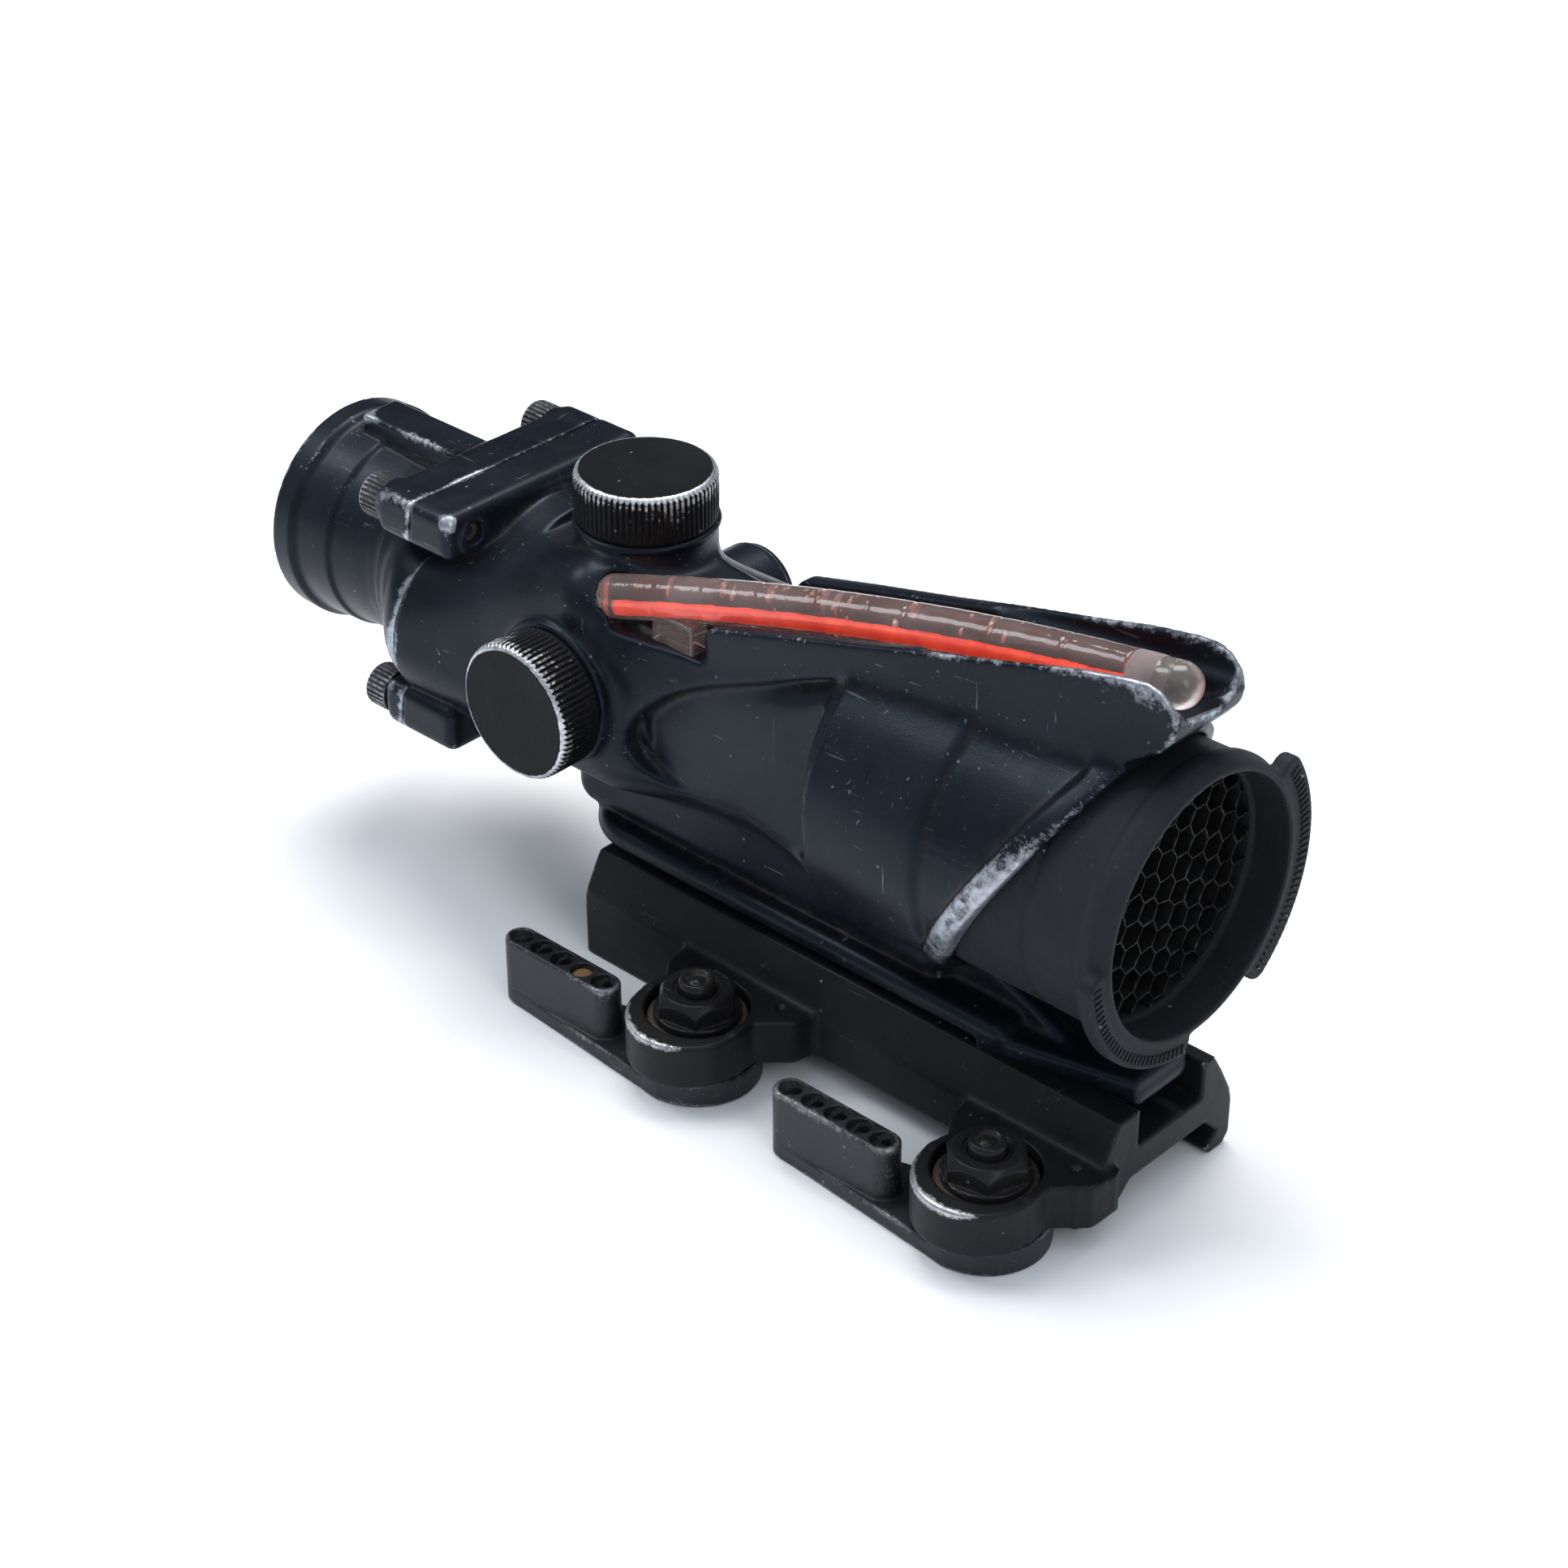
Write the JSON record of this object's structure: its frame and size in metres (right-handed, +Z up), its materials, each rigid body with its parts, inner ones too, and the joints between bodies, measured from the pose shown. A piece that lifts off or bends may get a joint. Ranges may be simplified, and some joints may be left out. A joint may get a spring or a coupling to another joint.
{
  "type": "prism sight with light tube and rail clamp",
  "caption": "Compact prism sight with a light gathering tube, capped adjusters, honeycomb glare sleeve and a quick release lever clamp for an accessory rail.",
  "frame": {"origin": "centre of the flat ceiling of the clamp, where the rail's top face rests", "axes": "+X forward out of the objective, +Y to the user's left, +Z up"},
  "size_m": [0.1591, 0.0589, 0.0787],
  "materials": {
    "housing": "satin blue-black anodised casting with bright worn edges",
    "cap_metal": "black anodised, fluted, bright worn bevel and brown dirt in the flutes",
    "clamp_metal": "matte black hard anodised, worn on the ears",
    "lever_steel": "dark grey steel with lighter edges",
    "dark_steel": "dark satin steel",
    "dirty_steel": "brownish oiled steel",
    "inner_metal": "matte grey",
    "dial_metal": "satin",
    "black_metal": "matte black inside finish",
    "rubber": "soft black rubber",
    "lens_glass": "coated optical glass",
    "prism_glass": "polished optical glass",
    "lamp_glass": "sealed glass vial",
    "clear_tube": "clear brownish plastic with bubbles and segment marks",
    "clear_plug": "clear yellowed plastic",
    "red_fibre": "glowing red fibre",
    "sleeve_plastic": "charcoal rubbery plastic",
    "comb_metal": "black foil honeycomb"
  },
  "bodies": {
    "sight": {"main_housing": "housing", "eyepiece_housing": "housing", "housing_seal": "rubber", "housing_screws": "dark_steel", "lock_screw": "dirty_steel", "eye_lens": "lens_glass", "eye_ring": "black_metal", "field_lens": "lens_glass", "reticle": "lens_glass", "lamp": "lamp_glass", "objective_lens": "lens_glass", "objective_ring": "black_metal", "spring_cap": "housing", "light_tube": "clear_tube", "light_fibre": "red_fibre", "tube_plug": "clear_plug", "tube_foot": "clear_plug", "clamp_base": "clamp_metal", "clamp_screws": "dark_steel"},
    "gimbal": {"gimbal_ring": "inner_metal"},
    "cradle": {"prism_cell": "inner_metal", "entry_prism": "prism_glass", "roof_prism": "prism_glass"},
    "plunger": {"spring_plunger": "inner_metal"},
    "elevation_knob": {"elevation_dial": "dial_metal"},
    "windage_knob": {"windage_dial": "dial_metal"},
    "elevation_cap_seal": {"elevation_seal": "rubber"},
    "elevation_cap": {"elevation_cap": "cap_metal"},
    "windage_cap_seal": {"windage_seal": "rubber"},
    "windage_cap": {"windage_cap": "cap_metal"},
    "sleeve": {"glare_sleeve": "sleeve_plastic", "glare_comb": "comb_metal"},
    "rear_lever": {"rear_lever": "lever_steel", "rear_stud": "dark_steel", "rear_nut": "dark_steel", "rear_washer": "dirty_steel"},
    "front_lever": {"front_lever": "lever_steel", "front_stud": "dark_steel", "front_nut": "dark_steel", "front_washer": "dirty_steel"}
  },
  "joints": [
    {"name": "elevation_cap_lift", "type": "slide", "parent": "sight", "child": "elevation_cap_seal", "axis": [0, 0, 1], "range_m": [0, 0.004]},
    {"name": "elevation_cap_turn", "type": "hinge", "parent": "elevation_cap_seal", "child": "elevation_cap", "pos_m": [-0.047, 0, 0.0636], "axis": [0, 0, 1], "range_deg": [0, 1441]},
    {"name": "windage_cap_lift", "type": "slide", "parent": "sight", "child": "windage_cap_seal", "axis": [0, -1, 0], "range_m": [0, 0.004]},
    {"name": "windage_cap_turn", "type": "hinge", "parent": "windage_cap_seal", "child": "windage_cap", "pos_m": [-0.047, -0.023, 0.0396], "axis": [0, -1, 0], "range_deg": [0, 1441]},
    {"name": "elevation_turn", "type": "hinge", "parent": "sight", "child": "elevation_knob", "pos_m": [-0.047, 0, 0.0556], "axis": [0, 0, 1], "range_deg": [-720, 720]},
    {"name": "windage_turn", "type": "hinge", "parent": "sight", "child": "windage_knob", "pos_m": [-0.047, -0.016, 0.0396], "axis": [0, -1, 0], "range_deg": [-720, 720]},
    {"name": "gimbal_tilt", "type": "hinge", "parent": "sight", "child": "gimbal", "pos_m": [-0.0363, 0, 0.0396], "axis": [0, 1, 0], "range_deg": [-0.61, 0.61]},
    {"name": "cradle_swing", "type": "hinge", "parent": "gimbal", "child": "cradle", "pos_m": [-0.0363, 0, 0.0396], "axis": [0, 0, 1], "range_deg": [-0.61, 0.61]},
    {"name": "plunger_slide", "type": "slide", "parent": "sight", "child": "plunger", "axis": [0, 1, 0], "range_m": [-0.00012, 0.0012], "stiffness_N_per_m": 200},
    {"name": "sleeve_slide", "type": "slide", "parent": "sight", "child": "sleeve", "axis": [1, 0, 0], "range_m": [0, 0.04]},
    {"name": "rear_lever_swing", "type": "hinge", "parent": "sight", "child": "rear_lever", "pos_m": [-0.0155, -0.0235, -0.0004], "axis": [0, 0, 1], "range_deg": [0, 115]},
    {"name": "front_lever_swing", "type": "hinge", "parent": "sight", "child": "front_lever", "pos_m": [0.036, -0.0235, -0.0004], "axis": [0, 0, 1], "range_deg": [0, 115]}
  ],
  "couplings": [
    {"joint": "elevation_cap_turn", "follows": "elevation_cap_lift", "rad_per_m": 6283.2},
    {"joint": "windage_cap_turn", "follows": "windage_cap_lift", "rad_per_m": 6283.2},
    {"joint": "gimbal_tilt", "follows": "elevation_turn", "ratio": 0.00083333},
    {"joint": "cradle_swing", "follows": "windage_turn", "ratio": 0.00083333}
  ]
}
